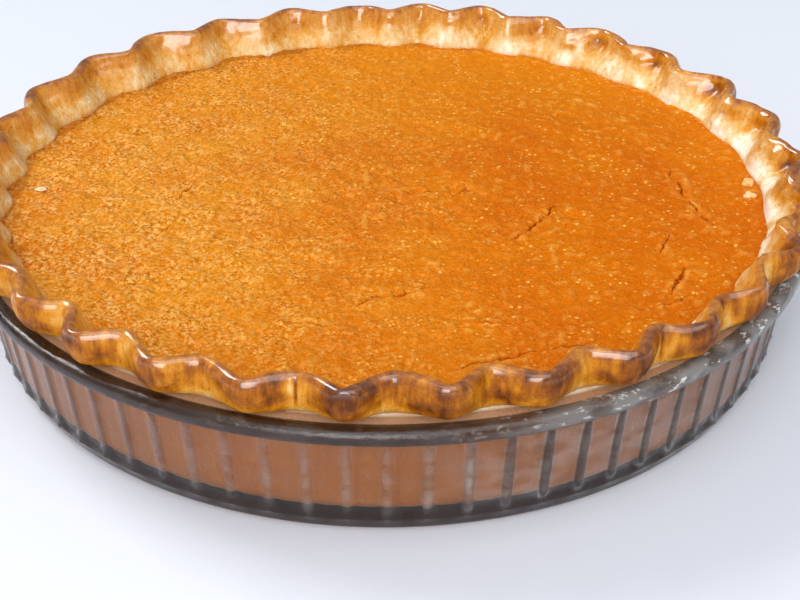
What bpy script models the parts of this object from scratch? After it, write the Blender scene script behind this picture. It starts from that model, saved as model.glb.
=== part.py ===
"""A whole pumpkin pie, baked in its own fluted glass flan dish.

Three solids nest inside one another: the glass dish, the pastry crust that lines it and stands above its rim
in a crimped wall, and the pumpkin filling that fills the crust. The origin is on the table under the middle
of the dish, +Z is up and -Y is the front. Angles run round the rim from the front, towards +X.
"""

import math

import bmesh
import bpy

MM = 0.001

# The glass dish: a thick floor, a wall that leans out a little, and a heavy plain rim
RIM_RADIUS = 140.0 * MM
RIM_INNER_RADIUS = 134.6 * MM
RIM_THICKNESS = 5.0 * MM
RIM_ROUNDING = 2.0 * MM
RIM_INNER_DROP = 0.8 * MM
DISH_HEIGHT = 40.0 * MM
WALL_TOP_RADIUS = 135.2 * MM
WALL_FOOT_RADIUS = 132.4 * MM
WALL_THICKNESS = 4.8 * MM
FOOT_RADIUS = 128.8 * MM
FOOT_HEIGHT = 6.0 * MM
FLOOR_THICKNESS = 6.5 * MM
INNER_CORNER = 5.0 * MM
RIM_POINTS = 154

# The flutes of its wall: narrow ridges between broad flat panels
FLUTES = 77
RIDGE_HEIGHT = 0.9 * MM
RIDGE_HALF_WIDTH = 1.5 * MM

# The pastry: a lining of even thickness
NEIGHBOUR_GAP = 0.3 * MM
PASTRY_THICKNESS = 4.6 * MM
PLAIN_POINTS = 62

# Its edge: folded over, and crimped in and out
CRIMPS = 31
CRIMP_POINTS = CRIMPS * 8
CREST_RADIUS = 135.0 * MM
CREST_HEIGHT = 53.3 * MM
CREST_ROUNDING = 2.4 * MM
CREST_REACH = 3.5 * MM
FOLD_THICKNESS = 4.6 * MM
LIP_RADIUS = 135.0 * MM
LIP_HEIGHT = 42.2 * MM
LIP_REACH = 2.5 * MM
LIP_DROP = 1.2 * MM
LIP_UNDERCUT = 2.0 * MM
SLOPE_RADIUS = 129.0 * MM
SLOPE_HEIGHT = 44.6 * MM
SLOPE_REACH = 2.2 * MM
FIRST_CRIMP = math.radians(10.1)
# Hand crimping drifts round the rim: whole waves in a turn, reach and place of each drift in degrees
CRIMP_DRIFTS = ((1, 5.2, 52.0), (2, 1.8, 48.0), (3, 1.6, -135.0))
UNEVEN_REACH = 0.16
UNEVEN_HEIGHT = 0.8 * MM

# The filling
FILLING_RADIUS = 125.8 * MM
FILLING_HEIGHT = 39.4 * MM
FILLING_EDGE_WAVE = 0.5 * MM
FILLING_UNEVENNESS = 0.3 * MM
FILLING_SHOULDER = 6.0 * MM

# Heights and radii that the three solids share
UNDER_RIM = DISH_HEIGHT - RIM_THICKNESS
CORNER_HEIGHT = FLOOR_THICKNESS + INNER_CORNER
CRUST_FLOOR = FLOOR_THICKNESS + NEIGHBOUR_GAP
CRUST_TOP_OF_FLOOR = CRUST_FLOOR + PASTRY_THICKNESS


# Rings and solids


def around(angle, radius, height):
    """A point at an angle from the front (-Y) towards +X."""
    return (radius * math.sin(angle), -radius * math.cos(angle), height)


def ring(count, radius, height):
    """A closed ring of points. Radius and height are numbers, or functions of the angle."""
    points = []
    for i in range(count):
        angle = math.tau * i / count
        r = radius(angle) if callable(radius) else radius
        z = height(angle) if callable(height) else height
        points.append(around(angle, r, z))
    return points


def fluted_ring(radius, height, ridge):
    """A ring with one ridge to each flute: its crest, and the two feet that it stands on."""
    half_angle = RIDGE_HALF_WIDTH / radius
    pitch = math.tau / FLUTES
    points = []
    for i in range(FLUTES):
        points.append(around(i * pitch, radius + ridge, height))
        points.append(around(i * pitch + half_angle, radius, height))
        points.append(around((i + 1) * pitch - half_angle, radius, height))
    return points


def bridge(bm, below, above):
    """Faces between two rings. The finer ring has a whole number of points to each one of the other."""
    upside_down = len(below) < len(above)
    fine, coarse = (above, below) if upside_down else (below, above)
    step = len(fine) // len(coarse)
    middle = (step + 1) // 2
    for i, start in enumerate(coarse):
        end = coarse[(i + 1) % len(coarse)]
        edge = [fine[(i * step + k) % len(fine)] for k in range(step + 1)]
        if step == 1:
            faces = [[edge[0], edge[1], end, start]]
        else:
            faces = [[edge[k], edge[k + 1], start if k < middle else end] for k in range(step)]
            faces.append([edge[middle], end, start])
        for face in faces:
            bm.faces.new(face[::-1] if upside_down else face)


def lofted_solid(name, rings, collection, material):
    """A closed solid through rings that run from its underside, up its outside and in over its top."""
    bm = bmesh.new()
    loops = [[bm.verts.new(point) for point in points] for points in rings]
    bm.faces.new(loops[0][::-1])
    for below, above in zip(loops, loops[1:]):
        bridge(bm, below, above)
    bm.faces.new(loops[-1])
    bmesh.ops.triangulate(bm, faces=bm.faces[:])
    mesh = bpy.data.meshes.new(name)
    bm.to_mesh(mesh)
    bm.free()
    mesh.materials.append(material)
    mesh.shade_smooth()
    mesh.set_sharp_from_angle(angle=math.radians(40))
    solid = bpy.data.objects.new(name, mesh)
    collection.objects.link(solid)
    return solid


def simple_material(name, colour, roughness, transmission=0.0):
    """A Principled BSDF of one colour."""
    material = bpy.data.materials.new(name)
    material.use_nodes = True
    shader = material.node_tree.nodes["Principled BSDF"]
    shader.inputs["Base Color"].default_value = (*colour, 1.0)
    shader.inputs["Roughness"].default_value = roughness
    shader.inputs["Metallic"].default_value = 0.0
    shader.inputs["Transmission Weight"].default_value = transmission
    return material


# The crimped edge


def crimp(angle):
    """How far the edge is pushed out here: 1 at the middle of a bulge, -1 at a pinch."""
    drift = 0.0
    for waves, reach, place in CRIMP_DRIFTS:
        drift += math.radians(reach) * math.cos(waves * angle - math.radians(place))
    return math.cos(CRIMPS * (angle - FIRST_CRIMP + drift))


def unevenness(angle, first_waves, second_waves):
    """A slow wander between about -1 and 1 that closes on itself, unlike from one crimp to the next."""
    return 0.6 * math.sin(first_waves * angle + 0.4) + 0.4 * math.sin(second_waves * angle + 2.0)


def crimped_ring(radius, reach, height, drop=0.0, wander=UNEVEN_HEIGHT):
    """A ring that waves in and out with the crimps. It lies lower by drop in a bulge than at a pinch."""

    def waving_radius(angle):
        return radius + reach * crimp(angle) * (1.0 + UNEVEN_REACH * unevenness(angle, 7, 12))

    def waving_height(angle):
        return height - 0.5 * drop * crimp(angle) + wander * unevenness(angle, 5, 13)

    return ring(CRIMP_POINTS, waving_radius, waving_height)


# The three solids


def wall_inside(height):
    """The radius of the dish's inner wall at a height. It leans out as much as the outer wall does."""
    lean = (WALL_TOP_RADIUS - WALL_FOOT_RADIUS) / (UNDER_RIM - FOOT_HEIGHT)
    return WALL_FOOT_RADIUS - WALL_THICKNESS + lean * (height - FOOT_HEIGHT)


def make_dish(collection):
    """The dish: a thick flat floor, a fluted wall, and a heavy plain rim with rounded edges."""
    glass = simple_material("smoky_glass", (0.33, 0.34, 0.34), 0.05, transmission=1.0)
    foot_rounding = 0.25 * FOOT_HEIGHT
    corner = wall_inside(CORNER_HEIGHT)
    rings = [
        # the flat underside, its rounded foot and the fluted wall
        ring(FLUTES, FOOT_RADIUS, 0.0),
        fluted_ring(WALL_FOOT_RADIUS - 0.8 * foot_rounding, foot_rounding, 0.5 * RIDGE_HEIGHT),
        fluted_ring(WALL_FOOT_RADIUS, FOOT_HEIGHT, RIDGE_HEIGHT),
        fluted_ring(WALL_TOP_RADIUS, UNDER_RIM - RIDGE_HEIGHT, RIDGE_HEIGHT),
        # the rim, round its outer edge and in to where the crust begins
        ring(FLUTES, WALL_TOP_RADIUS + 1.5 * RIDGE_HEIGHT, UNDER_RIM),
        ring(RIM_POINTS, RIM_RADIUS - 0.5 * RIM_ROUNDING, UNDER_RIM),
        ring(RIM_POINTS, RIM_RADIUS, UNDER_RIM + 0.7 * RIM_ROUNDING),
        ring(RIM_POINTS, RIM_RADIUS, DISH_HEIGHT - 0.7 * RIM_ROUNDING),
        ring(RIM_POINTS, RIM_RADIUS - RIM_ROUNDING, DISH_HEIGHT),
        ring(RIM_POINTS, RIM_INNER_RADIUS, DISH_HEIGHT - RIM_INNER_DROP),
        # the smooth inner wall, its rounded corner and the floor
        ring(FLUTES, wall_inside(UNDER_RIM), UNDER_RIM),
        ring(FLUTES, corner, CORNER_HEIGHT),
        ring(FLUTES, corner - 0.3 * INNER_CORNER, FLOOR_THICKNESS + 0.3 * INNER_CORNER),
        ring(FLUTES, corner - INNER_CORNER, FLOOR_THICKNESS),
    ]
    return lofted_solid("glass_dish", rings, collection, glass)


def make_crust(collection):
    """The crust: a lining that follows the dish, and an edge folded over so that its lip hangs outside."""
    pastry = simple_material("golden_pastry", (0.58, 0.33, 0.10), 0.45)
    corner = wall_inside(CORNER_HEIGHT) - NEIGHBOUR_GAP
    half_fold = 0.5 * FOLD_THICKNESS
    seat_height = DISH_HEIGHT - RIM_INNER_DROP + NEIGHBOUR_GAP
    shoulder_height = FILLING_HEIGHT - FILLING_SHOULDER
    rings = [
        # the underside, and the outside of the lining up to where it leans on the rim
        ring(PLAIN_POINTS, corner - INNER_CORNER, CRUST_FLOOR),
        ring(PLAIN_POINTS, corner - 0.35 * INNER_CORNER, CRUST_FLOOR + 0.3 * INNER_CORNER),
        ring(PLAIN_POINTS, corner, CORNER_HEIGHT),
        ring(PLAIN_POINTS, wall_inside(UNDER_RIM) - NEIGHBOUR_GAP, UNDER_RIM),
        ring(PLAIN_POINTS, RIM_INNER_RADIUS - NEIGHBOUR_GAP, seat_height),
        # the crimped edge: under its lip, the lip, and over the crest
        crimped_ring(LIP_RADIUS - LIP_UNDERCUT, 0.7 * LIP_REACH, LIP_HEIGHT - 0.5 * MM, LIP_DROP),
        crimped_ring(LIP_RADIUS, LIP_REACH, LIP_HEIGHT, LIP_DROP),
        crimped_ring(CREST_RADIUS + half_fold, CREST_REACH, CREST_HEIGHT - CREST_ROUNDING),
        crimped_ring(CREST_RADIUS, CREST_REACH, CREST_HEIGHT),
        crimped_ring(CREST_RADIUS - half_fold, CREST_REACH, CREST_HEIGHT - CREST_ROUNDING),
        # its slope down to the filling, and the inside of the lining
        crimped_ring(SLOPE_RADIUS, SLOPE_REACH, SLOPE_HEIGHT),
        crimped_ring(FILLING_RADIUS + NEIGHBOUR_GAP, FILLING_EDGE_WAVE, FILLING_HEIGHT, wander=0.0),
        ring(PLAIN_POINTS, wall_inside(shoulder_height) - PASTRY_THICKNESS, shoulder_height),
        ring(PLAIN_POINTS, corner - PASTRY_THICKNESS, CORNER_HEIGHT + PASTRY_THICKNESS),
        ring(PLAIN_POINTS, corner - PASTRY_THICKNESS - INNER_CORNER, CRUST_TOP_OF_FLOOR),
    ]
    return lofted_solid("pastry_crust", rings, collection, pastry)


def make_filling(collection):
    """The filling: it fills the crust to the foot of the crimped edge, under a nearly flat baked top."""
    pumpkin = simple_material("baked_pumpkin", (0.78, 0.27, 0.02), 0.5)
    corner = wall_inside(CORNER_HEIGHT) - NEIGHBOUR_GAP - PASTRY_THICKNESS - NEIGHBOUR_GAP
    shoulder_height = FILLING_HEIGHT - FILLING_SHOULDER
    shoulder = wall_inside(shoulder_height) - PASTRY_THICKNESS - NEIGHBOUR_GAP

    def top(angle):
        return FILLING_HEIGHT + FILLING_UNEVENNESS * unevenness(angle, 3, 5)

    rings = [
        ring(PLAIN_POINTS, corner - INNER_CORNER, CRUST_TOP_OF_FLOOR + NEIGHBOUR_GAP),
        ring(PLAIN_POINTS, corner, CORNER_HEIGHT + PASTRY_THICKNESS),
        ring(PLAIN_POINTS, shoulder, shoulder_height),
        crimped_ring(FILLING_RADIUS, FILLING_EDGE_WAVE, FILLING_HEIGHT, wander=0.0),
        ring(PLAIN_POINTS, 0.85 * FILLING_RADIUS, top),
        ring(PLAIN_POINTS // 2, 0.5 * FILLING_RADIUS, top),
    ]
    return lofted_solid("pumpkin_filling", rings, collection, pumpkin)


def main():
    for leftover in list(bpy.data.objects):
        bpy.data.objects.remove(leftover, do_unlink=True)
    pie = bpy.data.collections.new("pumpkin_pie")
    bpy.context.scene.collection.children.link(pie)
    make_dish(pie)
    make_crust(pie)
    make_filling(pie)


main()
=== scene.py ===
"""A whole baked pumpkin pie in its smoky fluted glass flan dish.

Three pieces are made anew inside their plain solids: the pressed glass dish, the crimped pastry crust and the
pumpkin filling. A flake and two crumbs of pastry lie on the filling. Metres, +Z up, -Y is the front, and
angles run round the rim from the front towards +X.
"""

import math

import bmesh
import bpy
import numpy as np
from mathutils import Matrix, Vector, noise


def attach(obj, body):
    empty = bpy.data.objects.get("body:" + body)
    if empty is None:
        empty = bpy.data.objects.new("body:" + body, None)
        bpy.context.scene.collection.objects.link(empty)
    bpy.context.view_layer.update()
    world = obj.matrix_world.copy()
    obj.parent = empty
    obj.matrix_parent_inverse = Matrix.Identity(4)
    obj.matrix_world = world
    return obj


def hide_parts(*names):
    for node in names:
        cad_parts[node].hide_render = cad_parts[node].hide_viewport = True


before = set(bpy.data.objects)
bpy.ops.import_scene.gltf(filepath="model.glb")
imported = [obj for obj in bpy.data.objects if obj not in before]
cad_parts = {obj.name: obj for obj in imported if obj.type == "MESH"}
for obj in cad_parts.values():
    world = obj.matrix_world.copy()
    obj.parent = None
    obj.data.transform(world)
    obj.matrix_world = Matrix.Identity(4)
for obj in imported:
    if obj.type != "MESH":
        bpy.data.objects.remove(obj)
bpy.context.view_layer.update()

MM = 0.001

# The dish, as the solid has it
RIM_RADIUS = 140.0 * MM
RIM_INNER_RADIUS = 134.6 * MM
RIM_THICKNESS = 5.0 * MM
RIM_INNER_DROP = 0.8 * MM
DISH_HEIGHT = 40.0 * MM
UNDER_RIM = DISH_HEIGHT - RIM_THICKNESS
WALL_TOP_RADIUS = 135.2 * MM
WALL_FOOT_RADIUS = 132.4 * MM
WALL_THICKNESS = 4.8 * MM
FOOT_RADIUS = 128.8 * MM
FOOT_HEIGHT = 6.0 * MM
FLOOR_THICKNESS = 6.5 * MM
INNER_CORNER = 5.0 * MM

# Its flutes: each pitch has one narrow rounded ridge, raised over a few columns of the mesh
FLUTES = 77
COLUMNS_A_FLUTE = 12
DISH_COLUMNS = FLUTES * COLUMNS_A_FLUTE
RIDGE_RISE = (0.9 * MM, 0.68 * MM, 0.22 * MM)
# How strongly a ridge's middle column and the next two are painted grey: painted reflection and shade for the
# light that the ridges bend, not wear
RIDGE_PAINTED_LIGHT = (1.0, 0.7, 0.1)

# The crust, as the solid has it. Each drift of its crimps is a number of waves round the rim, their reach and
# their peak in degrees
CRIMPS = 31
FIRST_CRIMP = math.radians(10.1)
CRIMP_DRIFTS = ((1, 5.2, 52.0), (2, 1.8, 48.0), (3, 1.6, -135.0))
UNEVEN_REACH = 0.16
UNEVEN_HEIGHT = 0.8 * MM
COLUMNS_A_CRIMP = 40
CRUST_COLUMNS = CRIMPS * COLUMNS_A_CRIMP
PASTRY_THICKNESS = 4.6 * MM
INTO_GLASS = 0.3 * MM
CRUST_TOP_OF_FLOOR = 11.7 * MM

# The filling
FILLING_RADIUS = 125.8 * MM
FILLING_HEIGHT = 39.4 * MM
FILLING_CELLS = 260


# Small helpers


def linear(value):
    """One sRGB channel, from 0 to 1, as linear light."""
    return value / 12.92 if value <= 0.04045 else ((value + 0.055) / 1.055) ** 2.4


def colour(hex_code):
    """A linear RGBA colour from an sRGB hex value."""
    channels = [int(hex_code[i : i + 2], 16) / 255 for i in (1, 3, 5)]
    return (*[linear(c) for c in channels], 1.0)


def mix(a, b, share):
    return a + (b - a) * share


def clamp(value, low=0.0, high=1.0):
    return max(low, min(high, value))


def smooth_step(low, high, value):
    t = clamp((value - low) / (high - low))
    return t * t * (3 - 2 * t)


def ease_to(value, limit, room):
    """The value, which past the limit creeps on by less and less and never by more than the room."""
    return value if value < limit else limit + room * (1 - math.exp((limit - value) / room))


def facing(angle, towards):
    """1 where the rim lies in that direction from the middle, 0 where it lies the other way."""
    return 0.5 + 0.5 * math.cos(angle - math.radians(towards))


def deselect_all():
    bpy.ops.object.select_all(action="DESELECT")


def wall_inside(height):
    """The radius of the dish's inner wall at a height."""
    lean = (WALL_TOP_RADIUS - WALL_FOOT_RADIUS) / (UNDER_RIM - FOOT_HEIGHT)
    return WALL_FOOT_RADIUS - WALL_THICKNESS + lean * (height - FOOT_HEIGHT)


def wall_outside(height):
    return wall_inside(height) + WALL_THICKNESS


def arc(centre, radius, start, end, steps):
    """Points of a rounded edge in a profile. The angles are in degrees, from outwards (0) to up (90)."""
    points = []
    for i in range(steps + 1):
        turn = math.radians(mix(start, end, i / steps))
        points.append((centre[0] + radius * math.cos(turn), centre[1] + radius * math.sin(turn)))
    return points


def turned_solid(name, profile, columns):
    """Raises a disc's edge ring by ring along a profile, from the underside out, up and in over the top."""
    radius, height = profile[0]
    deselect_all()
    bpy.ops.mesh.primitive_circle_add(
        vertices=columns, radius=radius, fill_type="NGON", location=(0, 0, height)
    )
    piece = bpy.context.object
    piece.name = piece.data.name = name
    bpy.ops.object.transform_apply(location=True, rotation=False, scale=False)
    bpy.ops.object.mode_set(mode="EDIT")
    for next_radius, next_height in profile[1:]:
        rise = (0, 0, next_height - height)
        grow = next_radius / radius
        bpy.ops.mesh.extrude_region_move(TRANSFORM_OT_translate={"value": rise})
        bpy.ops.transform.resize(value=(grow, grow, 1), center_override=(0, 0, next_height))
        radius, height = next_radius, next_height
    bpy.ops.mesh.select_all(action="SELECT")
    bpy.ops.mesh.normals_make_consistent(inside=False)
    bpy.ops.object.mode_set(mode="OBJECT")
    return piece


def settle(piece, node, material):
    """Gives a finished piece its material and its body, and hides the solid of the node that it stands for.
    """
    piece.data.materials.clear()
    piece.data.materials.append(material)
    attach(piece, "root")
    if node:
        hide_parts(node)


# The glass dish


def dish_profile():
    corner = wall_inside(FLOOR_THICKNESS + INNER_CORNER)
    foot = [(FOOT_RADIUS - 2.5 * MM, 0.25 * MM), (FOOT_RADIUS - 1.2 * MM, 0.0), (FOOT_RADIUS, 0.0)]
    foot += arc((FOOT_RADIUS + 0.2 * MM, 2.6 * MM), 2.6 * MM, -75, -12, 5)
    foot += [(WALL_FOOT_RADIUS - 0.35 * MM, 4.4 * MM)]
    wall = []
    wall_rings = 14
    for i in range(wall_rings + 1):
        height = mix(FOOT_HEIGHT, UNDER_RIM - 0.9 * MM, (i / wall_rings) ** 1.25)
        wall.append((wall_outside(height), height))
    under_rim = [(WALL_TOP_RADIUS + 0.5 * MM, UNDER_RIM - 0.2 * MM), (WALL_TOP_RADIUS + 1.4 * MM, UNDER_RIM)]
    outer = arc((RIM_RADIUS - 1.9 * MM, UNDER_RIM + 1.9 * MM), 1.9 * MM, -90, 0, 6)
    outer += arc((RIM_RADIUS - 2.3 * MM, DISH_HEIGHT - 2.3 * MM), 2.3 * MM, 0, 90, 7)
    inner_height = DISH_HEIGHT - RIM_INNER_DROP
    inner = [(RIM_INNER_RADIUS + 1.6 * MM, DISH_HEIGHT - 0.15 * MM)]
    inner += [(RIM_INNER_RADIUS + 0.5 * MM, inner_height + 0.25 * MM), (RIM_INNER_RADIUS, inner_height)]
    inner += [(RIM_INNER_RADIUS - 0.7 * MM, inner_height - 0.9 * MM)]
    inner += [(wall_inside(UNDER_RIM) + 0.3 * MM, UNDER_RIM + 0.4 * MM)]
    inner += [(wall_inside(h * MM), h * MM) for h in (34, 26, 18)]
    turned_corner = arc((corner - INNER_CORNER, FLOOR_THICKNESS + INNER_CORNER), INNER_CORNER, 0, -90, 6)
    return foot + wall + under_rim + outer + inner + turned_corner


def columns_off_ridge(x, y):
    """How many columns of the mesh a place lies from the middle of the nearest ridge."""
    column = round(math.atan2(x, -y) / math.tau * DISH_COLUMNS) % COLUMNS_A_FLUTE
    return min(column, COLUMNS_A_FLUTE - column)


def raise_ridges(dish):
    """Draws the ridges out of the wall, and widens each at its foot so that the panels end round."""
    bpy.ops.object.mode_set(mode="EDIT")
    mesh = bmesh.from_edit_mesh(dish.data)
    # each line is drawn out on its own: columns off the ridge, rise, lowest and highest place
    foot = FOOT_HEIGHT - 0.2 * MM
    lines = [(step, rise, foot, UNDER_RIM - 1.0 * MM) for step, rise in enumerate(RIDGE_RISE)]
    lines += [(3, 0.5 * MM, foot, FOOT_HEIGHT + 1.4 * MM)]
    lines += [(2, 0.35 * MM, foot, FOOT_HEIGHT + 2.6 * MM)]
    lines += [(4, 0.4 * MM, foot, FOOT_HEIGHT + 0.7 * MM)]
    for step in range(COLUMNS_A_FLUTE // 2 + 1):
        lines.append((step, 0.45 * MM, 4.0 * MM, 4.8 * MM))
        lines.append((step, 0.45 * MM, foot, FOOT_HEIGHT + 0.1 * MM))
    for step, rise, low, high in lines:
        for vert in mesh.verts:
            x, y, z = vert.co
            outer = math.hypot(x, y) > WALL_FOOT_RADIUS - 1.0 * MM
            vert.select = outer and low <= z <= high and columns_off_ridge(x, y) == step
        mesh.select_flush(True)
        grow = 1 + rise / WALL_TOP_RADIUS
        bpy.ops.transform.resize(value=(grow, grow, 1), center_override=(0, 0, 0))
    bpy.ops.object.mode_set(mode="OBJECT")


def note_scuffs_and_painted_light(dish):
    """Marks where the glass is worn and where it is painted: a grey painted reflection and shade along each
    ridge, least at its top, and on the rim real scuffs with a paler painted reflection, most on the right.
    """
    scuffs_and_painted_light = dish.data.attributes.new("scuffs_and_painted_light", "FLOAT", "POINT")
    for vert in dish.data.vertices:
        x, y, z = vert.co
        if math.hypot(x, y) > wall_outside(z) - 1.0 * MM and FOOT_HEIGHT <= z <= UNDER_RIM - 0.8 * MM:
            # along each ridge: painted grey reflection and shade
            wear_and_painted_light = RIDGE_PAINTED_LIGHT[min(columns_off_ridge(x, y), len(RIDGE_PAINTED_LIGHT) - 1)]
            wear_and_painted_light *= smooth_step(FOOT_HEIGHT, FOOT_HEIGHT + 5 * MM, z)
            wear_and_painted_light *= mix(1.0, 0.55, smooth_step(22 * MM, 34 * MM, z))
        else:
            angle = math.atan2(x, -y)
            # on the rim: scuffs all round, and a paler painted reflection that grows towards the right and
            # fades to the left
            wear_and_painted_light = 0.26 + 0.66 * smooth_step(0.60, 0.86, facing(angle, 80))
            wear_and_painted_light -= 0.15 * smooth_step(0.7, 0.95, facing(angle, -90))
            wear_and_painted_light *= smooth_step(UNDER_RIM, UNDER_RIM + 2 * MM, z)
        scuffs_and_painted_light.data[vert.index].value = wear_and_painted_light


def make_dish(material):
    dish = turned_solid("dish_glass", dish_profile(), DISH_COLUMNS)
    raise_ridges(dish)
    note_scuffs_and_painted_light(dish)
    deselect_all()
    dish.select_set(True)
    bpy.ops.object.shade_smooth_by_angle(angle=math.radians(50))
    settle(dish, "glass_dish", material)
    return dish


# The crimped crust


def crimp_turn(angle):
    """The crimp wave's phase at an angle: whole turns at the middle of each outward bulge."""
    drift = 0.0
    for waves, reach, place in CRIMP_DRIFTS:
        drift += math.radians(reach) * math.cos(waves * angle - math.radians(place))
    return CRIMPS * (angle - FIRST_CRIMP + drift)


def crimp_wave(angle):
    """The crimps in and out, from -1 at a pinch to 1 at a bulge.

    Behind, the pinches are the sharper turns, and in front the bulges."""
    turn = crimp_turn(angle)
    sharp_pinches = 2 * abs(math.cos(turn / 2)) - 1
    sharp_bulges = 1 - 2 * abs(math.sin(turn / 2))
    sharp = mix(sharp_bulges, sharp_pinches, facing(angle, 180))
    return mix(math.cos(turn), sharp, 0.35)


def unevenness(angle, first_waves, second_waves):
    return 0.6 * math.sin(first_waves * angle + 0.4) + 0.4 * math.sin(second_waves * angle + 2.0)


def dough(angle, across, size, seed):
    """Lumps of kneaded dough, from about -1 to 1, that run round the edge and across its fold."""
    place = Vector((math.sin(angle) * CREST_RADIUS, math.cos(angle) * CREST_RADIUS, across * MM))
    return noise.noise(place / (size * MM) + Vector((seed, 0, 0)))


# The crimped edge's rows, from under its lip, up and over the crest and down to the filling, in millimetres:
# how far out from the crest, height, reach of the crimps, and how much lower a bulge lies than a pinch
CRUST_ROWS = (
    (-2.2, 40.9, 1.0, 0.5),
    (-0.9, 41.2, 1.5, 0.5),
    (0.5, 41.9, 1.9, 0.5),
    (1.7, 44.2, 2.5, 0.3),
    (2.35, 47.4, 3.2, 0.2),
    (2.4, 50.2, 3.45, 0.0),
    (1.6, 52.3, 3.5, 0.0),
    (0.1, 53.2, 3.5, 0.0),
    (-1.5, 52.4, 3.5, 0.0),
    (-2.7, 50.2, 3.4, 0.0),
    (-4.2, 47.4, 3.0, 0.0),
    (-6.1, 44.4, 2.4, 0.0),
    (-7.9, 41.9, 1.9, 0.0),
    (-8.8, 40.2, 1.6, 0.0),
    (-8.7, 39.0, 1.5, 0.0),
)
STEPS_A_ROW = 3
CREST_RADIUS = 135.0 * MM
FOLD_REACH = 2.5
DIMPLE_DEPTH = 1.5
DIMPLE_HEIGHT = 47.6
DIMPLE_SPREAD = 3.2
NIP_DEPTH = 0.55
# No bulge stands out past the widest of the solid, or above its top: the limit, and the room past it
OUT_LIMIT = (4.5, 0.95)
TOP_LIMIT = (53.3, 0.7)


def smooth_rows(rows, steps):
    """Rows with others between them, on a curve through each value in turn."""
    finer = []
    for i in range(len(rows) - 1):
        before, start, end = rows[max(i - 1, 0)], rows[i], rows[i + 1]
        after = rows[min(i + 2, len(rows) - 1)]
        for k in range(steps):
            t = k / steps
            row = []
            for p0, p1, p2, p3 in zip(before, start, end, after):
                bend = (2 * p0 - 5 * p1 + 4 * p2 - p3) * t * t + (3 * p1 - p0 - 3 * p2 + p3) * t ** 3
                row.append(0.5 * (2 * p1 + (p2 - p0) * t + bend))
            finer.append(tuple(row))
    finer.append(rows[-1])
    return finer


def crust_profile():
    """The plain rings that line the glass, the crimped rows, and the inside of the lining."""
    corner = wall_inside(FLOOR_THICKNESS + INNER_CORNER) + INTO_GLASS
    floor = FLOOR_THICKNESS - INTO_GLASS
    lining = arc((corner - INNER_CORNER, floor + INNER_CORNER), INNER_CORNER, -90, 0, 6)
    lining += [(wall_inside(h * MM) + INTO_GLASS, h * MM) for h in (15, 19, 23, 27, 31, 34.6)]
    lining += [(RIM_INNER_RADIUS - 0.6 * MM, 38.2 * MM), (RIM_INNER_RADIUS + 0.3 * MM, 39.3 * MM)]
    lining += [(RIM_INNER_RADIUS - 0.2 * MM, 39.9 * MM), (133.4 * MM, 40.4 * MM)]
    crimped = smooth_rows(CRUST_ROWS, STEPS_A_ROW)
    shoulder = wall_inside(33 * MM) - PASTRY_THICKNESS
    hidden = [(shoulder + 1.5 * MM, 37 * MM), (shoulder, 33 * MM), (corner - PASTRY_THICKNESS, 17 * MM)]
    hidden += [(corner - PASTRY_THICKNESS - INNER_CORNER, 11.4 * MM)]
    return lining, crimped, hidden


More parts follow.
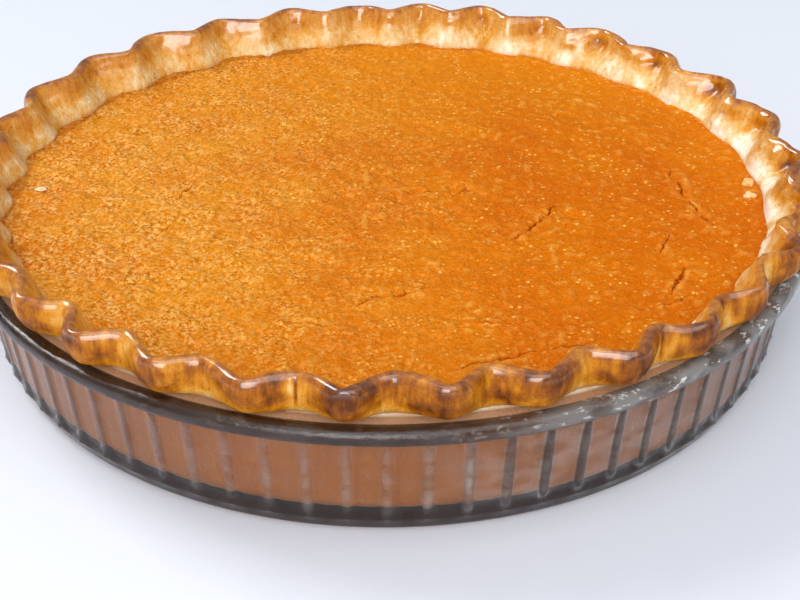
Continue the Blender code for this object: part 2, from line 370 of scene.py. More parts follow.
def edge_point(angle, offset, height, reach, drop):
    """A point of the crimped edge, and how it is coloured there, each from 0 to 1.

    That is how far it is browned, partly as painted light on the right, how far painted shade darkens it in a
    crease, how thick the egg wash is, and how far it is the plain underside of the lip."""
    wave = crimp_wave(angle)
    inside = smooth_step(1.0, -2.0, offset)
    outside = 1.0 - inside
    upper = smooth_step(42, 46, height)
    foot = smooth_step(43.5, 40.5, height) * inside
    # the crest line waves, and the fold keeps its thickness on both sides of it
    left_back = facing(angle, -125)
    swing = 1 + UNEVEN_REACH * unevenness(angle, 7, 12) + 0.4 * dough(angle, 0, 19, 5.0)
    reach = reach * swing * mix(1.0, mix(0.35, 1.25, left_back), foot)
    slope = reach * (crimp_wave(angle + 0.004) - crimp_wave(angle - 0.004)) / (0.008 * CREST_RADIUS / MM)
    length = math.hypot(1, slope)
    along_normal = clamp(offset, -FOLD_REACH, FOLD_REACH)
    out = reach * wave + along_normal / length + (offset - along_normal)
    sideways = -along_normal * slope / length
    # soft lumps and the folds of soft dough
    across = offset * 2 + height * 0.5
    lumpy = mix(0.9, 1.7, facing(angle, 95) ** 2) * upper
    out += lumpy * (0.9 * dough(angle, across, 9, 1.0) + 0.45 * dough(angle, across * 1.6, 4.5, 2.0))
    up = UNEVEN_HEIGHT / MM * unevenness(angle, 5, 13) - 0.5 * drop * wave
    up += lumpy * 0.55 * dough(angle, 0, 11, 3.0)
    # a thumb's dimple in each hollow of the inner side, with a sharper edge to its right
    side = math.sin(crimp_turn(angle))
    hollow = smooth_step(0.1, 0.9, wave) * inside
    level = DIMPLE_HEIGHT + 1.2 * dough(angle, 0, 18, 7.0)
    dimple = hollow * math.exp(-(((height - level) / DIMPLE_SPREAD) ** 2))
    dimple *= 1 + 0.5 * dough(angle, 0, 24, 8.0)
    out += DIMPLE_DEPTH * dimple * mix(0.6, 1.4, facing(angle, 95))
    # here and there a pinch is nipped along one line on the outside
    nip = math.exp(-(((1 + wave) / 0.012) ** 2)) * outside * upper * smooth_step(53, 50, height)
    nipped = smooth_step(-0.15, 0.25, dough(angle, 0, 30, 9.0))
    out -= NIP_DEPTH * nip * nipped
    up = up * smooth_step(39.2, 43.0, height) if inside > 0.5 else up
    radius = CREST_RADIUS + ease_to(out, *OUT_LIMIT) * MM
    around = angle + sideways * MM / CREST_RADIUS
    top = ease_to(height + up, *TOP_LIMIT) * MM
    place = Vector((radius * math.sin(around), -radius * math.cos(around), top))
    # the oven browns the outside and the top most, the hollows next, and leaves the foot and the pinches
    # pale; on the right, painted light and shade make the inner low faces paler and the dimples and blotches
    # darker
    crest = smooth_step(48.5, 52.5, height)
    pinch = smooth_step(-0.45, -0.98, wave)
    right_painted_light = facing(angle, 80) ** 2
    blotch = dough(angle, height, 8, 11.0)
    speckle = dough(angle, height, 3.2, 12.0)
    brown_out = 0.65 + 0.06 * crest + 0.08 * wave + 0.24 * blotch + 0.16 * speckle
    brown_out -= 0.16 * pinch * (1 - 0.7 * crest) * nipped
    brown_out += 0.09 * smooth_step(0.88, 0.99, facing(angle, 14)) + 0.045 * facing(angle, 30) ** 2
    brown_out -= 0.12 * smooth_step(45.5, 42.5, height)
    # inner side: on the right, painted light gives paler low faces and painted shade gives darker dimples and
    # blotches, as a lamp from the left would show them
    brown_in = mix(0.40, 0.36, right_painted_light)
    brown_in += 0.12 * smooth_step(43, 50, height) + 0.22 * smooth_step(51.3, 53.0, height)
    brown_in += mix(0.05, 0.36, right_painted_light) * dimple + mix(0.14, 0.3, right_painted_light) * blotch
    brown_in -= 0.08 * pinch + mix(0.08, 0.24, right_painted_light) * smooth_step(49, 42, height)
    browned = mix(brown_out, brown_in, inside)
    # painted shade: darker along each nipped line, and along the right edge of each dimple on the right of
    # the pie
    crease_painted_shade = nip * nipped + 0.5 * dimple * smooth_step(0.35, 0.75, side) * right_painted_light
    # the egg wash was brushed over the top, down to the filling
    glazed = mix(smooth_step(50.3, 52.4, height), smooth_step(44.0, 50.0, height), inside)
    underside = smooth_step(42.2, 41.3, height) * outside
    return place, clamp(browned), clamp(crease_painted_shade), clamp(glazed), underside


def crimp_crust(crust, first_row, rows):
    """Pushes the edge in and out, and notes at each point what the oven left there."""
    notes = {"browned": [], "crease_painted_shade": [], "glazed": [], "lining": []}
    for vert in crust.data.vertices:
        row = vert.index // CRUST_COLUMNS - first_row
        if 0 <= row < len(rows):
            angle = math.atan2(vert.co.x, -vert.co.y)
            vert.co, *noted = edge_point(angle, *rows[row])
        else:
            noted = (0.0, 0.0, 0.0, 1.0)
        for values, value in zip(notes.values(), noted):
            values.append(value)
    for name, values in notes.items():
        crust.data.attributes.new(name, "FLOAT", "POINT").data.foreach_set("value", values)


def make_crust(material):
    lining, crimped, hidden = crust_profile()
    profile = lining + [(CREST_RADIUS + offset * MM, z * MM) for offset, z, _, _ in crimped] + hidden
    crust = turned_solid("crimped_pastry", profile, CRUST_COLUMNS)
    crimp_crust(crust, len(lining), crimped)
    deselect_all()
    crust.select_set(True)
    bpy.ops.object.shade_smooth_by_angle(angle=math.radians(75))
    settle(crust, "pastry_crust", material)
    return crust


# The filling

# Cracks in its top: half width and depth in millimetres, then the places that each runs through, as x and y
CRACKS = (
    (0.80, 1.3, ((55.5, -16), (54, -20), (51.5, -24))),
    (0.95, 1.6, ((51.5, -25), (47.5, -30), (44.5, -34.5))),
    (0.60, 0.8, ((44, -35.5), (41, -38), (38.5, -41))),
    (0.50, 0.8, ((98, 11), (98.5, 7), (98.5, 4))),
    (0.90, 1.5, ((100, 1), (100, -4), (99.5, -10))),
    (0.75, 1.2, ((101.5, -13), (101.8, -17), (102, -21))),
    (0.60, 0.9, ((103.5, -24), (104, -27), (105.5, -31))),
    (0.50, 0.9, ((91, -36), (88, -42), (85, -47))),
    (0.60, 1.0, ((91, -56), (90, -60), (87, -66), (84, -72))),
    (0.55, 0.7, ((58, -98), (43, -102), (30, -106), (16, -111))),
    (0.45, 0.6, ((22, -88), (32, -87), (42, -90))),
    (0.55, 0.7, ((-30, -86), (-24, -87), (-15, -89))),
    (0.55, 0.9, ((11, -69), (3, -72), (-4, -73), (-10, -78))),
    (0.55, 0.8, ((-71, -14), (-68, -7), (-65, -1))),
    (0.50, 0.7, ((-73, -35), (-70, -29), (-66, -24))),
    (0.50, 0.7, ((-111, -55), (-106, -52), (-103, -49))),
    (0.70, 0.8, ((2, -4), (9, -7), (15, -6))),
    (0.60, 0.6, ((22, -9), (27, -4), (31, -9))),
    (0.45, 0.6, ((77, -80), (84, -77), (90, -73))),
)
# Pale wrinkles that stand up: half width and height, then places
WRINKLES = (
    (1.2, 0.35, ((50, 88), (66, 76), (80, 62), (90, 47), (96, 32))),
    (1.0, 0.28, ((42, 78), (58, 68), (70, 55))),
    (0.9, 0.30, ((101, 14), (102, 0), (102, -12), (103, -28), (106, -42))),
    (0.8, 0.30, ((93, -58), (97, -64), (103, -70))),
    (0.9, 0.25, ((60, -19), (57, -30), (48, -38))),
)
# The crust's row where the filling meets it, and how far the filling is tucked into it
FILLING_ROW = (-8.8, 39.6, 1.6, 0.0)
EDGE_TUCK = 0.9
SWIRL_SPACING = 19.0


def edge_radius(angle):
    """Where the filling's top meets the crust, and a little past it."""
    return edge_point(angle, *FILLING_ROW)[0].xy.length + EDGE_TUCK * MM


def distance_to(route, x, y):
    """The distance in millimetres from each place to a route, and how far along the route it is, 0 to 1."""
    nearest = np.full(x.shape, 1e9)
    along = np.zeros(x.shape)
    count = len(route) - 1
    for i in range(count):
        (x0, y0), (x1, y1) = route[i], route[i + 1]
        dx, dy = x1 - x0, y1 - y0
        t = np.clip(((x - x0) * dx + (y - y0) * dy) / (dx * dx + dy * dy), 0, 1)
        d = np.hypot(x - x0 - t * dx, y - y0 - t * dy)
        along = np.where(d < nearest, (i + t) / count, along)
        nearest = np.minimum(nearest, d)
    return nearest, along


def smooth(low, high, values):
    """smooth_step for many values at once."""
    t = np.clip((values - low) / (high - low), 0, 1)
    return t * t * (3 - 2 * t)


def noise_at(x, y, size, seed):
    """Smooth noise from about -1 to 1 at each place, with lumps of that size in millimetres."""
    return np.array([noise.noise(Vector((a / size, b / size, seed))) for a, b in zip(x, y)])


def relief(x, y):
    """The filling's height above its level at each place in millimetres, how far its cracks and a painted
    shadow darken it, and how pale it baked.

    Its lumps are coarser towards the left and the front, and coarsest near the middle."""
    left = smooth(60, -90, x)
    front = smooth(40, -90, y)
    coarse = 0.55 + 0.75 * left + 0.25 * front
    centre = np.exp(-(((x - 12) / 26) ** 2 + ((y + 8) / 17) ** 2))
    slow = noise_at(x, y, 38, 1.0)
    turns = np.hypot(x - 6, y + 6) / SWIRL_SPACING
    swirl = np.sin(turns * math.tau + np.arctan2(y + 6, x - 6) + 2.2 * slow)
    height = 0.45 * slow + 0.35 * noise_at(x, y, 13, 2.0)
    height += 0.22 * swirl * (0.4 + 0.6 * coarse) * smooth(118, 100, np.hypot(x, y))
    height += (0.55 * coarse + 0.65 * centre + 0.04) * noise_at(x, y, 5.0, 3.0)
    height += (0.50 * coarse + 0.40 * centre + 0.04) * noise_at(x, y, 2.4, 4.0)
    # paler curds stand up in loose clumps
    clumps = smooth(-0.15, 0.35, noise_at(x, y, 15, 12.0))
    curds = smooth(0.12, 0.5, noise_at(x, y, 2.8, 6.0)) * (0.35 + 0.65 * clumps)
    height += 0.50 * curds
    paled = 0.42 * curds
    pocks = noise_at(x, y, 6.5, 5.0)
    height -= 0.45 * smooth(0.42, 0.62, pocks) * coarse
    wobble_x = x + 1.1 * noise_at(x, y, 4.2, 7.0) + 0.6 * noise_at(x, y, 1.4, 8.0)
    wobble_y = y + 1.1 * noise_at(x, y, 4.2, 9.0) + 0.6 * noise_at(x, y, 1.4, 10.0)
    # along the back left, a painted shadow of the crust darkens the edge in a scalloped band
    angles = np.arctan2(x, -y)
    shadow_band = 3.2 + 1.6 * np.sin(CRIMPS / 2 * angles + 0.8) + 1.2 * slow
    rim_gap = FILLING_RADIUS / MM + 1.5 - np.hypot(x, y)
    back_left = 0.5 + 0.5 * np.cos(angles - math.radians(-125))
    cracks_and_painted_shadow = 0.42 * smooth(1.5, -0.5, rim_gap - shadow_band) * smooth(0.45, 0.85, back_left)
    for width, depth, route in CRACKS:
        away, along = distance_to(route, wobble_x, wobble_y)
        taper = np.sqrt(np.clip(4.6 * along * (1 - along), 0.06, 1)) * (0.75 + 0.5 * pocks)
        groove = np.exp(-((away / (0.8 * width * taper)) ** 2))
        lips = np.exp(-(((away - 2.6 * width) / (1.4 * width)) ** 2)) * taper
        height += 0.28 * depth * lips - depth * groove * taper
        cracks_and_painted_shadow = np.maximum(cracks_and_painted_shadow, groove * min(1.0, 0.35 + 0.5 * depth))
        paled = np.maximum(paled, 0.55 * lips * smooth(-0.3, 0.5, pocks))
    for width, rise, route in WRINKLES:
        away, along = distance_to(route, wobble_x, wobble_y)
        ridge = np.exp(-((away / width) ** 2)) * np.clip(6 * along * (1 - along), 0, 1)
        ridge *= smooth(-0.2, 0.5, noise_at(x, y, 4.0, 11.0))
        height += rise * ridge
        paled = np.maximum(paled, 0.75 * ridge)
    return height, cracks_and_painted_shadow, np.clip(paled, 0, 1)


def refine_near_cracks(filling):
    """Cuts the cells near each crack twice more, so that its edges can be sharp."""
    for reach in (2.6, 1.5):
        bpy.ops.object.mode_set(mode="EDIT")
        bpy.ops.mesh.select_all(action="DESELECT")
        mesh = bmesh.from_edit_mesh(filling.data)
        mesh.faces.ensure_lookup_table()
        middles = [face.calc_center_median() / MM for face in mesh.faces]
        x = np.array([m.x for m in middles])
        y = np.array([m.y for m in middles])
        near = np.zeros(x.shape, bool)
        for _, _, route in CRACKS:
            near |= distance_to(route, x, y)[0] < reach
        for i in np.nonzero(near)[0]:
            mesh.faces[i].select = True
        mesh.select_flush(True)
        bmesh.update_edit_mesh(filling.data)
        bpy.ops.mesh.subdivide(number_cuts=1)
        bpy.ops.object.mode_set(mode="OBJECT")


def make_filling(material):
    deselect_all()
    bpy.ops.mesh.primitive_grid_add(x_subdivisions=FILLING_CELLS, y_subdivisions=FILLING_CELLS, size=2)
    filling = bpy.context.object
    filling.name = filling.data.name = "pumpkin_custard"
    # the square grid is drawn out to the round edge of the crust
    for vert in filling.data.vertices:
        u, v = vert.co.x, vert.co.y
        x, y = u * math.sqrt(1 - 0.5 * v * v), v * math.sqrt(1 - 0.5 * u * u)
        share = math.hypot(x, y)
        plain = FILLING_RADIUS * share
        wavy = edge_radius(math.atan2(x, -y)) * share if share > 0.6 else plain
        reach = mix(plain, wavy, smooth_step(0.8, 1.0, share)) / max(share, 1e-6)
        vert.co = (x * reach, y * reach, FILLING_HEIGHT)
    refine_near_cracks(filling)
    mesh = filling.data
    places = np.zeros(3 * len(mesh.vertices))
    mesh.vertices.foreach_get("co", places)
    places = places.reshape(-1, 3)
    height, cracks_and_painted_shadow, paled = relief(places[:, 0] / MM, places[:, 1] / MM)
    places[:, 2] += height * MM
    mesh.vertices.foreach_set("co", places.ravel())
    mesh.attributes.new("cracks_and_painted_shadow", "FLOAT", "POINT").data.foreach_set("value", cracks_and_painted_shadow)
    mesh.attributes.new("paled", "FLOAT", "POINT").data.foreach_set("value", paled)
    # its sides and its underside are inside the crust
    bpy.ops.object.mode_set(mode="EDIT")
    bpy.ops.mesh.select_all(action="SELECT")
    bpy.ops.mesh.region_to_loop()
    for drop, shrink in ((2.4, 0.985), (4.0, 0.985), (20.0, 0.975)):
        bpy.ops.mesh.extrude_region_move(TRANSFORM_OT_translate={"value": (0, 0, -drop * MM)})
        bpy.ops.transform.resize(value=(shrink, shrink, 1), center_override=(0, 0, 0))
    bpy.ops.transform.resize(value=(1, 1, 0), center_override=(0, 0, CRUST_TOP_OF_FLOOR))
    bpy.ops.mesh.edge_face_add()
    bpy.ops.mesh.select_all(action="SELECT")
    bpy.ops.mesh.normals_make_consistent(inside=False)
    bpy.ops.object.mode_set(mode="OBJECT")
    deselect_all()
    filling.select_set(True)
    bpy.ops.object.shade_smooth_by_angle(angle=math.radians(75))
    settle(filling, "pumpkin_filling", material)
    return filling


# A flake and two crumbs of the crust on the filling: each lump's place and half sizes in millimetres, and the
# seed of its skin
SCRAPS = {
    "pastry_flake": (((-116.5, -5, 39.9), (1.9, 1.2, 0.45), 2.0),),
    "pastry_crumbs": (
        ((123.2, -1.0, 39.8), (1.9, 2.3, 1.2), 5.0),
        ((121.6, -10.5, 39.8), (2.0, 1.5, 1.2), 9.0),
    ),
}
SCRAP_BROWNED = 0.22


def bake_scraps(name, lumps, material):
    """Small lumps of baked dough with an uneven skin, as one piece."""
    made = []
    for place, size, seed in lumps:
        deselect_all()
        bpy.ops.mesh.primitive_ico_sphere_add(subdivisions=4, radius=1, location=(0, 0, 0))
        lump = bpy.context.object
        for vert in lump.data.vertices:
            skin = 1 + 0.4 * noise.noise(vert.co * 1.1 + Vector((seed, 0, 0)))
            skin += 0.1 * noise.noise(vert.co * 2.6)
            vert.co = Vector(place) * MM + vert.co * Vector(size) * skin * MM
        made.append(lump)
    for lump in made:
        lump.select_set(True)
    if len(made) > 1:
        bpy.ops.object.join()
    scrap = bpy.context.object
    scrap.name = scrap.data.name = name
    browned = scrap.data.attributes.new("browned", "FLOAT", "POINT")
    browned.data.foreach_set("value", [SCRAP_BROWNED] * len(scrap.data.vertices))
    bpy.ops.object.shade_smooth()
    settle(scrap, None, material)


# Materials

# The sockets of the nodes that blend two colours and that spread a value over a range
SHARE, FIRST, SECOND, BLENDED = 0, 6, 7, 2
VALUE, LOW, HIGH, NEW_LOW, NEW_HIGH = 0, 1, 2, 3, 4

# Settings that many nodes share
COLOURS = {"data_type": "RGBA"}
SMOOTHLY = {"interpolation_type": "SMOOTHSTEP"}
ADD = {"operation": "ADD"}
SUBTRACT = {"operation": "SUBTRACT"}
MULTIPLY = {"operation": "MULTIPLY"}
MULTIPLY_ADD = {"operation": "MULTIPLY_ADD"}
LARGER = {"operation": "MAXIMUM"}


def new_material(name):
    material = bpy.data.materials.new(name)
    material.use_nodes = True
    return material, material.node_tree.nodes["Principled BSDF"]


def feed(owner, node, inputs):
    """Gives a node its inputs: each is a value, a colour's hex code, or the output of another node."""
    for name, value in inputs.items():
        if isinstance(value, bpy.types.NodeSocket):
            owner.node_tree.links.new(value, node.inputs[name])
        else:
            node.inputs[name].default_value = colour(value) if isinstance(value, str) else value


def add_node(owner, kind, inputs=None, settings=None, output=0):
    """Adds a node to a material or a world, with its inputs and settings, and gives one of its outputs."""
    node = owner.node_tree.nodes.new("ShaderNode" + kind)
    for name, value in (settings or {}).items():
        setattr(node, name, value)
    feed(owner, node, inputs or {})
    return node.outputs[output]


def lumps_of(size):
    """The scale of a pattern whose lumps or cells are that wide, in millimetres."""
    return 1 / (size * MM)


def set_stops(ramp, stops):
    """Gives a colour ramp its stops, each a position and a hex code."""
    first, *middle, last = stops
    for element, (position, code) in zip(ramp.elements, (first, last)):
        element.position = position
        element.color = colour(code)
    for position, code in middle:
        ramp.elements.new(position).color = colour(code)


def smoky_glass():
    """Pressed soda-lime glass, fire polished: clear, a little grey, nearly black along its thick foot.

    Its rim is scuffed from stacking. Its ridges are painted grey for the light that they bend: a painted pale
    reflection in front, grey on the left and painted shade on the right. Its heavy rim is mottled, chipped
    and a little wavy, and has a paler painted reflection towards the right."""
    glass, shader = new_material("pressed_soda_lime_glass")
    scuffs_and_painted_light = add_node(glass, "Attribute", None, {"attribute_name": "scuffs_and_painted_light"}, "Fac")
    place = add_node(glass, "TexCoord", output="Object")
    parts = add_node(glass, "SeparateXYZ", {0: place}).node.outputs
    smear_place = add_node(glass, "Mapping", {"Vector": place, "Scale": (1, 1, 2)})
    smear = {"Vector": smear_place, "Scale": lumps_of(9), "Detail": 3.0}
    smears = add_node(glass, "TexNoise", smear, output="Fac")
    patch = {VALUE: smears, LOW: 0.38, HIGH: 0.62, NEW_LOW: 0.4, NEW_HIGH: 1.2}
    patchy = add_node(glass, "MapRange", patch, SMOOTHLY)
    rim_start = {VALUE: parts["Z"], LOW: UNDER_RIM - 0.5 * MM, HIGH: UNDER_RIM + 1.0 * MM}
    thick = add_node(glass, "MapRange", rim_start, SMOOTHLY)
    rightwards_painted_light = add_node(glass, "MapRange", {VALUE: parts["X"], LOW: 0.0, HIGH: 45 * MM}, SMOOTHLY)
    leftwards_painted_light = add_node(glass, "MapRange", {VALUE: parts["X"], LOW: -20 * MM, HIGH: -90 * MM}, SMOOTHLY)
    # chips: small, pale and only where the rim is scuffed
    chip_place = add_node(glass, "Mapping", {"Vector": place, "Scale": (1, 1, 2.5)})
    chip = {"Vector": chip_place, "Scale": lumps_of(4.5), "Detail": 4.0, "Roughness": 0.7}
    chips = add_node(glass, "TexNoise", chip, output="Fac")
    chipped = add_node(glass, "MapRange", {VALUE: chips, LOW: 0.56, HIGH: 0.64}, SMOOTHLY)
    chipped = add_node(glass, "Math", {0: chipped, 1: scuffs_and_painted_light}, MULTIPLY)
    chipped = add_node(glass, "Math", {0: chipped, 1: thick}, MULTIPLY)
    # haze: how much of the light is stopped by chips, by the rim's scuffs and by the painted grey on the
    # ridges and the right of the rim, growing towards the right
    hazed_and_painted_light = add_node(glass, "Math", {0: rightwards_painted_light, 1: 0.66, 2: 0.16}, MULTIPLY_ADD)
    rim_haze = add_node(glass, "Math", {0: thick, 1: 0.75}, MULTIPLY)
    hazed_and_painted_light = add_node(glass, "Math", {0: hazed_and_painted_light, 1: rim_haze}, LARGER)
    haze_and_painted_light = add_node(glass, "Math", {0: scuffs_and_painted_light, 1: hazed_and_painted_light}, MULTIPLY)
    haze_and_painted_light = add_node(glass, "Math", {0: haze_and_painted_light, 1: patchy}, MULTIPLY)
    chip_haze = add_node(glass, "Math", {0: chipped, 1: 0.9}, MULTIPLY)
    haze_and_painted_light = add_node(glass, "Math", {0: haze_and_painted_light, 1: chip_haze}, LARGER)
    clear = add_node(glass, "Math", {0: 1.0, 1: haze_and_painted_light}, SUBTRACT)
    # tints of the plain glass, of the scuffs and of the painted light
    mottle = add_node(glass, "Mix", {SHARE: patchy, FIRST: "#26292C", SECOND: "#4E5154"}, COLOURS, BLENDED)
    body = add_node(glass, "Mix", {SHARE: thick, FIRST: "#FFFFFF", SECOND: mottle}, COLOURS, BLENDED)
    # the ridges' tint is painted light: a pale painted reflection in front, grey on the left, dark painted
    # shade on the right
    ridge = add_node(glass, "Mix", {SHARE: leftwards_painted_light, FIRST: "#D0C4B8", SECOND: "#A09C98"}, COLOURS, BLENDED)
    ridge = add_node(glass, "Mix", {SHARE: rightwards_painted_light, FIRST: ridge, SECOND: "#544A42"}, COLOURS, BLENDED)
    # the rim's tint: dark on the left and in front, with a paler painted reflection on the right
    rim_painted_light = add_node(glass, "Mix", {SHARE: rightwards_painted_light, FIRST: "#35383B", SECOND: "#807E7B"}, COLOURS, BLENDED)
    wear_and_painted_light = add_node(glass, "Mix", {SHARE: thick, FIRST: ridge, SECOND: rim_painted_light}, COLOURS, BLENDED)
    wear_and_painted_light = add_node(glass, "Mix", {SHARE: chipped, FIRST: wear_and_painted_light, SECOND: "#E4E2DE"}, COLOURS, BLENDED)
    tinted = add_node(glass, "MapRange", {VALUE: scuffs_and_painted_light, LOW: 0.08, HIGH: 0.45}, SMOOTHLY)
    shade = add_node(glass, "Mix", {SHARE: tinted, FIRST: body, SECOND: wear_and_painted_light}, COLOURS, BLENDED)
    # the heavy rim came out of the mould wavy and a little dull in places
    dulled = add_node(glass, "Math", {0: thick, 1: patchy}, MULTIPLY)
    dulled = add_node(glass, "Math", {0: dulled, 1: 0.22}, MULTIPLY)
    polish = {VALUE: haze_and_painted_light, LOW: 0.0, HIGH: 0.6, NEW_LOW: 0.03, NEW_HIGH: 0.2}
    polish = add_node(glass, "MapRange", polish, SMOOTHLY)
    waves = add_node(glass, "Math", {0: thick, 1: 0.85, 2: 0.15}, MULTIPLY_ADD)
    waves = add_node(glass, "Math", {0: waves, 1: chips}, MULTIPLY)
    feed(glass, shader, {
        "Base Color": shade,
        "Roughness": add_node(glass, "Math", {0: polish, 1: dulled}, LARGER),
        "IOR": 1.5,
        "Transmission Weight": clear,
        "Normal": add_node(glass, "Bump", {"Height": waves, "Distance": 0.35 * MM, "Strength": 1.0}),
    })
    smoke = add_node(glass, "VolumeAbsorption", {"Color": "#BAB6B1", "Density": 62.0})
    feed(glass, glass.node_tree.nodes["Material Output"], {"Volume": smoke})
    return glass


# From raw dough to the darkest spots of the oven
BAKING_TONES = (
    (0.0, "#FBF0D8"),
    (0.2, "#E6C48A"),
    (0.4, "#DA9C40"),
    (0.6, "#C67C10"),
    (0.8, "#985206"),
    (1.0, "#5C2C04"),
)


def egg_washed_pastry():
    """Shortcrust pastry, egg washed and baked: pale and creamy low down, golden to brown and glossy above."""
    crust, shader = new_material("egg_washed_shortcrust")
    browned = add_node(crust, "Attribute", None, {"attribute_name": "browned"}, "Fac")
    crease_painted_shade = add_node(crust, "Attribute", None, {"attribute_name": "crease_painted_shade"}, "Fac")
    glazed = add_node(crust, "Attribute", None, {"attribute_name": "glazed"}, "Fac")
    lined = add_node(crust, "Attribute", None, {"attribute_name": "lining"}, "Fac")
    place = add_node(crust, "TexCoord", output="Object")
    patch = {"Vector": place, "Scale": lumps_of(7), "Detail": 5.0, "Roughness": 0.7}
    patches = add_node(crust, "TexNoise", patch, output="Fac")
    streak_place = add_node(crust, "Mapping", {"Vector": place, "Scale": (1, 1, 0.2)})
    streak = {"Vector": streak_place, "Scale": lumps_of(2.2), "Detail": 5.0, "Roughness": 0.65}
    streaks = add_node(crust, "TexNoise", streak, output="Fac")
    # the oven's browning, made uneven by patches and brush streaks, and darker where painted shade lies in a
    # crease
    uneven = add_node(crust, "Math", {0: patches, 1: 0.55, 2: -0.275}, MULTIPLY_ADD)
    streaky = add_node(crust, "Math", {0: streaks, 1: 0.7, 2: -0.35}, MULTIPLY_ADD)
    dark_crease_painted_shade = add_node(crust, "Math", {0: crease_painted_shade, 1: 0.35}, MULTIPLY)
    tone = add_node(crust, "Math", {0: browned, 1: uneven}, ADD)
    tone = add_node(crust, "Math", {0: tone, 1: streaky}, ADD)
    tone = add_node(crust, "Math", {0: tone, 1: dark_crease_painted_shade}, ADD)
    baked = add_node(crust, "ValToRGB", {"Fac": tone}, output="Color")
    set_stops(baked.node.color_ramp, BAKING_TONES)
    spot = {"Vector": place, "Scale": lumps_of(5.5), "Randomness": 1.0}
    spots = add_node(crust, "TexVoronoi", spot, output="Distance")
    spotted = add_node(crust, "MapRange", {VALUE: spots, LOW: 0.10, HIGH: 0.04}, SMOOTHLY)
    spotted = add_node(crust, "Math", {0: spotted, 1: 0.6}, MULTIPLY)
    baked = add_node(crust, "Mix", {SHARE: spotted, FIRST: baked, SECOND: "#6B3A12"}, COLOURS, BLENDED)
    # the lip's underside is plain dough darkened with painted shade, and below the rim the lining shows
    # through the glass, evenly baked and painted brighter and more orange as painted light for the light the
    # glass holds back
    height = add_node(crust, "SeparateXYZ", {0: place}, output="Z")
    seat = add_node(crust, "MapRange", {VALUE: height, LOW: 39.6 * MM, HIGH: 38.0 * MM}, SMOOTHLY)
    lip_underside_painted_shade = add_node(crust, "Mix", {SHARE: patches, FIRST: "#AA7C5A", SECOND: "#8E6646"}, COLOURS, BLENDED)
    lining = add_node(crust, "Mix", {SHARE: patches, FIRST: "#F0941E", SECOND: "#DE780A"}, COLOURS, BLENDED)
    below = add_node(crust, "Mix", {SHARE: seat, FIRST: lip_underside_painted_shade, SECOND: lining}, COLOURS, BLENDED)
    shown = add_node(crust, "Mix", {SHARE: lined, FIRST: baked, SECOND: below}, COLOURS, BLENDED)
    grain = {"Vector": place, "Scale": lumps_of(1.1), "Detail": 5.0, "Roughness": 0.6}
    grain = add_node(crust, "TexNoise", grain, output="Fac")
    skin = add_node(crust, "Math", {0: streaks, 1: grain}, ADD)
    sheen = {VALUE: patches, LOW: 0.3, HIGH: 0.7, NEW_LOW: 0.26, NEW_HIGH: 0.46}
    feed(crust, shader, {
        "Base Color": shown,
        "Roughness": add_node(crust, "MapRange", sheen, SMOOTHLY),
        "Specular IOR Level": 0.08,
        "Coat Weight": add_node(crust, "Math", {0: glazed, 1: 0.9, 2: 0.1}, MULTIPLY_ADD),
        "Coat Roughness": 0.17,
        "Coat IOR": 1.8,
        "Normal": add_node(crust, "Bump", {"Height": skin, "Distance": 0.6 * MM, "Strength": 0.9}),
    })
    return crust


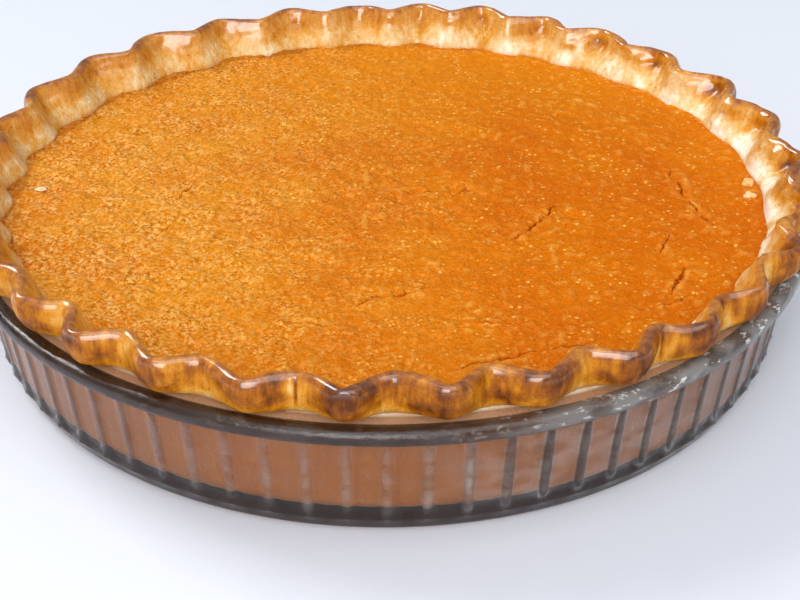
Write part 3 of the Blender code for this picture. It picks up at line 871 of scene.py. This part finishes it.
def baked_custard():
    """Pumpkin custard, poured and baked: opaque, finely grained, with paler specks and reddish cracks."""
    custard, shader = new_material("oven_baked_pumpkin_custard")
    cracks_and_painted_shadow = add_node(custard, "Attribute", None, {"attribute_name": "cracks_and_painted_shadow"}, "Fac")
    paled = add_node(custard, "Attribute", None, {"attribute_name": "paled"}, "Fac")
    place = add_node(custard, "TexCoord", output="Object")
    parts = add_node(custard, "SeparateXYZ", {0: place}).node.outputs
    leftwards_painted_light = add_node(custard, "MapRange", {VALUE: parts["X"], LOW: 70 * MM, HIGH: -100 * MM}, SMOOTHLY)
    # broad cloudy tones, lighter towards the back, and lighter to the left as a painted sheen
    broad = {"Vector": place, "Scale": lumps_of(34), "Detail": 3.0}
    broad = add_node(custard, "TexNoise", broad, output="Fac")
    cloudy = add_node(custard, "MapRange", {VALUE: broad, LOW: 0.3, HIGH: 0.7}, SMOOTHLY)
    deep = add_node(custard, "Mix", {SHARE: leftwards_painted_light, FIRST: "#C65E00", SECOND: "#CE7608"}, COLOURS, BLENDED)
    light = {SHARE: leftwards_painted_light, FIRST: "#CE6C00", SECOND: "#D88A14"}
    light = add_node(custard, "Mix", light, COLOURS, BLENDED)
    body = add_node(custard, "Mix", {SHARE: cloudy, FIRST: deep, SECOND: light}, COLOURS, BLENDED)
    back = {VALUE: parts["Y"], LOW: 10 * MM, HIGH: 110 * MM, NEW_LOW: 0.0, NEW_HIGH: 0.6}
    backwards = add_node(custard, "MapRange", back, SMOOTHLY)
    body = add_node(custard, "Mix", {SHARE: backwards, FIRST: body, SECOND: "#D88204"}, COLOURS, BLENDED)
    # a grain of sandy and moist dark specks in clumps, stronger to the left, where the paler sandy tone is a
    # painted sheen
    grain = {"Vector": place, "Scale": lumps_of(1.25), "Detail": 4.0, "Roughness": 0.7}
    grain = add_node(custard, "TexNoise", grain, output="Fac")
    clumps = {"Vector": place, "Scale": lumps_of(9), "Detail": 4.0, "Roughness": 0.65}
    clumps = add_node(custard, "TexNoise", clumps, output="Fac")
    clumped = {VALUE: clumps, LOW: 0.36, HIGH: 0.64, NEW_LOW: 0.45, NEW_HIGH: 1.25}
    clumped = add_node(custard, "MapRange", clumped, SMOOTHLY)
    strength = add_node(custard, "Math", {0: leftwards_painted_light, 1: 0.6, 2: 0.2}, MULTIPLY_ADD)
    strength = add_node(custard, "Math", {0: strength, 1: clumped}, MULTIPLY)
    dry_and_painted_sheen = add_node(custard, "MapRange", {VALUE: grain, LOW: 0.48, HIGH: 0.60}, SMOOTHLY)
    dry_and_painted_sheen = add_node(custard, "Math", {0: strength, 1: dry_and_painted_sheen}, MULTIPLY)
    moist = add_node(custard, "MapRange", {VALUE: grain, LOW: 0.48, HIGH: 0.38}, SMOOTHLY)
    moist = add_node(custard, "Math", {0: strength, 1: moist}, MULTIPLY)
    body = add_node(custard, "Mix", {SHARE: moist, FIRST: body, SECOND: "#B45900"}, COLOURS, BLENDED)
    sandy_painted_sheen = {SHARE: leftwards_painted_light, FIRST: "#E0982A", SECOND: "#E6B26A"}
    sandy_painted_sheen = add_node(custard, "Mix", sandy_painted_sheen, COLOURS, BLENDED)
    body = add_node(custard, "Mix", {SHARE: dry_and_painted_sheen, FIRST: body, SECOND: sandy_painted_sheen}, COLOURS, BLENDED)
    # sparse pale specks, one to a cell
    specks = {"Vector": place, "Scale": lumps_of(2.6), "Randomness": 1.0}
    specks = add_node(custard, "TexVoronoi", specks, output="Distance")
    speckled = add_node(custard, "MapRange", {VALUE: specks, LOW: 0.28, HIGH: 0.12}, SMOOTHLY)
    sparse = {VALUE: clumps, LOW: 0.42, HIGH: 0.62, NEW_LOW: 0.2, NEW_HIGH: 0.9}
    sparse = add_node(custard, "MapRange", sparse, SMOOTHLY)
    speckled = add_node(custard, "Math", {0: speckled, 1: sparse}, MULTIPLY)
    body = add_node(custard, "Mix", {SHARE: speckled, FIRST: body, SECOND: "#EEB656"}, COLOURS, BLENDED)
    body = add_node(custard, "Mix", {SHARE: paled, FIRST: body, SECOND: "#E8A848"}, COLOURS, BLENDED)
    # the cracks, and the painted shadow along the back left edge, darken to a deep red
    darkened = add_node(custard, "MapRange", {VALUE: cracks_and_painted_shadow, LOW: 0.12, HIGH: 0.85}, SMOOTHLY)
    body = add_node(custard, "Mix", {SHARE: darkened, FIRST: body, SECOND: "#983C04"}, COLOURS, BLENDED)
    fine = {"Vector": place, "Scale": lumps_of(0.9), "Detail": 3.0, "Roughness": 0.6}
    fine = add_node(custard, "TexNoise", fine, output="Fac")
    skin = add_node(custard, "Math", {0: grain, 1: fine}, ADD)
    sheen = {VALUE: grain, LOW: 0.3, HIGH: 0.7, NEW_LOW: 0.34, NEW_HIGH: 0.55}
    feed(custard, shader, {
        "Base Color": body,
        "Roughness": add_node(custard, "MapRange", sheen, SMOOTHLY),
        "Specular IOR Level": 0.04,
        "Normal": add_node(custard, "Bump", {"Height": skin, "Distance": 0.55 * MM, "Strength": 1.0}),
    })
    return custard


# The stage


def studio():
    """A pale floor, a room that is brightest overhead, and three soft lamps."""
    scene = bpy.context.scene
    scene.view_settings.view_transform = "Standard"
    world = bpy.data.worlds.new("pale_room")
    world.use_nodes = True
    direction = add_node(world, "TexCoord", output="Generated")
    height = add_node(world, "SeparateXYZ", {0: direction}, output="Z")
    fade = {VALUE: height, LOW: 0.3, HIGH: 1.0, NEW_LOW: 0.24, NEW_HIGH: 0.60}
    strength = add_node(world, "MapRange", fade)
    feed(world, world.node_tree.nodes["Background"], {"Strength": strength, "Color": "#F0F3FA"})
    scene.world = world
    deselect_all()
    bpy.ops.mesh.primitive_plane_add(size=6, location=(0, 0, 0))
    floor = bpy.context.object
    floor.name = "floor"
    material, shader = new_material("pale_paper_backdrop")
    feed(material, shader, {"Base Color": "#D8DCE5", "Roughness": 0.8})
    floor.data.materials.append(material)
    lamps = (
        ("overhead_softbox", (0.2, -0.8, 1.5), (1.7, 1.7), 15.0),
        ("left_softbox", (-2.2, 1.54, 2.6), (1.5, 1.5), 74.0),
        ("front_softbox", (-0.3, -1.6, 0.8), (1.1, 1.1), 22.0),
    )
    for name, place, size, power in lamps:
        lamp = bpy.data.lights.new(name, "AREA")
        lamp.shape = "RECTANGLE"
        lamp.size, lamp.size_y = size
        lamp.energy = power
        holder = bpy.data.objects.new(name, lamp)
        scene.collection.objects.link(holder)
        aim = Vector((0, 0, 0.03)) - Vector(place)
        holder.matrix_world = Matrix.Translation(place) @ aim.to_track_quat("-Z", "Y").to_matrix().to_4x4()


def camera():
    """Looks down on the pie from the front, near enough that its right and left edges just leave the view."""
    pitch, turn, roll = math.radians(32.17), math.radians(0.65), math.radians(0.16)
    lens = bpy.data.cameras.new("camera")
    lens.sensor_width = 36
    lens.lens = 60.95
    lens.clip_start = 0.01
    holder = bpy.data.objects.new("camera", lens)
    bpy.context.scene.collection.objects.link(holder)
    aim = Vector((math.sin(turn) * math.cos(pitch), math.cos(turn) * math.cos(pitch), -math.sin(pitch)))
    place = Matrix.Translation((0, -0.4122, 0.2515))
    tilt = aim.to_track_quat("-Z", "Y").to_matrix().to_4x4() @ Matrix.Rotation(roll, 4, "Z")
    holder.matrix_world = place @ tilt
    bpy.context.scene.camera = holder


camera()
studio()
make_dish(smoky_glass())
pastry = egg_washed_pastry()
make_crust(pastry)
make_filling(baked_custard())
for scrap_name, scrap_lumps in SCRAPS.items():
    bake_scraps(scrap_name, scrap_lumps, pastry)
